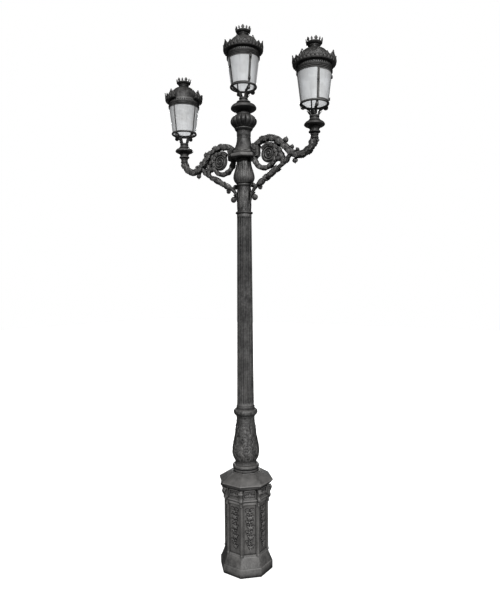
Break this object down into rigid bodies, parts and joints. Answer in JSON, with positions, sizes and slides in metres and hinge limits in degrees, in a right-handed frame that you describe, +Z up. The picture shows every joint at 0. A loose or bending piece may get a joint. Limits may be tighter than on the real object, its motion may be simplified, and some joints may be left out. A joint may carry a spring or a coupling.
{
  "type": "lamp post",
  "caption": "Tall cast-iron lamp post with an octagonal pedestal, a fluted column, scrolled arms and glazed, crowned lanterns whose doors open.",
  "frame": {"origin": "centre of the octagonal base, on the ground", "axes": "+Z up along the column; the arms lie along X; the service door is on the +Y face"},
  "size_m": [1.9049, 0.4878, 5.1659],
  "materials": {
    "iron": "satin charcoal paint over cast iron, dusty on its upper faces",
    "pane_glass": "frosted",
    "lamp_glass": "opal",
    "gear_steel": "zinc plated",
    "flange_steel": "galvanised",
    "board_plastic": "matt",
    "lock_brass": "dulled"
  },
  "bodies": {
    "post": {"anchor_flange": "flange_steel", "plinth": "iron", "pedestal_body": "iron", "pedestal_frieze": "iron", "corner_consoles": "iron", "pedestal_ornament": "iron", "pedestal_cap": "iron", "base_ring": "iron", "baluster": "iron", "lower_collar": "iron", "shaft": "iron", "neck_sleeve": "iron", "leaf_vase": "iron", "arm_hub": "iron", "bell_cone": "iron", "gadroon_bulb": "iron", "centre_saucer": "iron", "fuse_board": "board_plastic", "lampholders": "gear_steel", "lamp_bulbs": "lamp_glass", "left_arm_branch": "iron", "left_arm_scroll": "iron", "left_arm_brace": "iron", "left_arm_leaves": "iron", "left_arm_saucer": "iron", "right_arm_branch": "iron", "right_arm_scroll": "iron", "right_arm_brace": "iron", "right_arm_leaves": "iron", "right_arm_saucer": "iron", "left_lantern_foot": "iron", "left_lantern_frame": "iron", "left_lantern_glass": "pane_glass", "left_lantern_gallery": "iron", "left_lantern_roof": "iron", "left_lantern_crown": "iron", "centre_lantern_foot": "iron", "centre_lantern_frame": "iron", "centre_lantern_glass": "pane_glass", "centre_lantern_gallery": "iron", "centre_lantern_roof": "iron", "centre_lantern_crown": "iron", "right_lantern_foot": "iron", "right_lantern_frame": "iron", "right_lantern_glass": "pane_glass", "right_lantern_gallery": "iron", "right_lantern_roof": "iron", "right_lantern_crown": "iron"},
    "access_door": {"access_door": "iron"},
    "door_lock": {"door_lock": "lock_brass"},
    "left_door": {"left_lantern_door": "iron", "left_door_glass": "pane_glass"},
    "left_button": {"left_lantern_button": "iron"},
    "centre_door": {"centre_lantern_door": "iron", "centre_door_glass": "pane_glass"},
    "centre_button": {"centre_lantern_button": "iron"},
    "right_door": {"right_lantern_door": "iron", "right_door_glass": "pane_glass"},
    "right_button": {"right_lantern_button": "iron"}
  },
  "joints": [
    {"name": "access_door_hinge", "type": "hinge", "parent": "post", "child": "access_door", "pos_m": [-0.0595, 0.20109, 0.423], "axis": [0, 0, 1], "range_deg": [0, 110]},
    {"name": "door_lock_turn", "type": "hinge", "parent": "access_door", "child": "door_lock", "pos_m": [0.037, 0.185, 0.412], "axis": [0, 1, 0], "range_deg": [0, 90]},
    {"name": "left_door_hinge", "type": "hinge", "parent": "post", "child": "left_door", "pos_m": [-0.89655, 0, 4.397], "axis": [-0.1245, 0, 0.9922], "range_deg": [0, 100]},
    {"name": "left_button_turn", "type": "hinge", "parent": "post", "child": "left_button", "pos_m": [-0.755, 0.14354, 4.45632], "axis": [0, -0.9922, 0.1245], "range_deg": [0, 90]},
    {"name": "centre_door_hinge", "type": "hinge", "parent": "post", "child": "centre_door", "pos_m": [0.12612, -0.06426, 4.711], "axis": [0.1109, -0.0565, 0.9922], "range_deg": [0, 100]},
    {"name": "centre_button_turn", "type": "hinge", "parent": "post", "child": "centre_button", "pos_m": [-0.06516, -0.12789, 4.77032], "axis": [0.4505, 0.8841, 0.1245], "range_deg": [0, 90]},
    {"name": "right_door_hinge", "type": "hinge", "parent": "post", "child": "right_door", "pos_m": [0.86343, 0.09099, 4.397], "axis": [0.0954, 0.08, 0.9922], "range_deg": [0, 100]},
    {"name": "right_button_turn", "type": "hinge", "parent": "post", "child": "right_button", "pos_m": [0.84726, -0.10995, 4.45632], "axis": [-0.6378, 0.7601, 0.1245], "range_deg": [0, 90]}
  ]
}
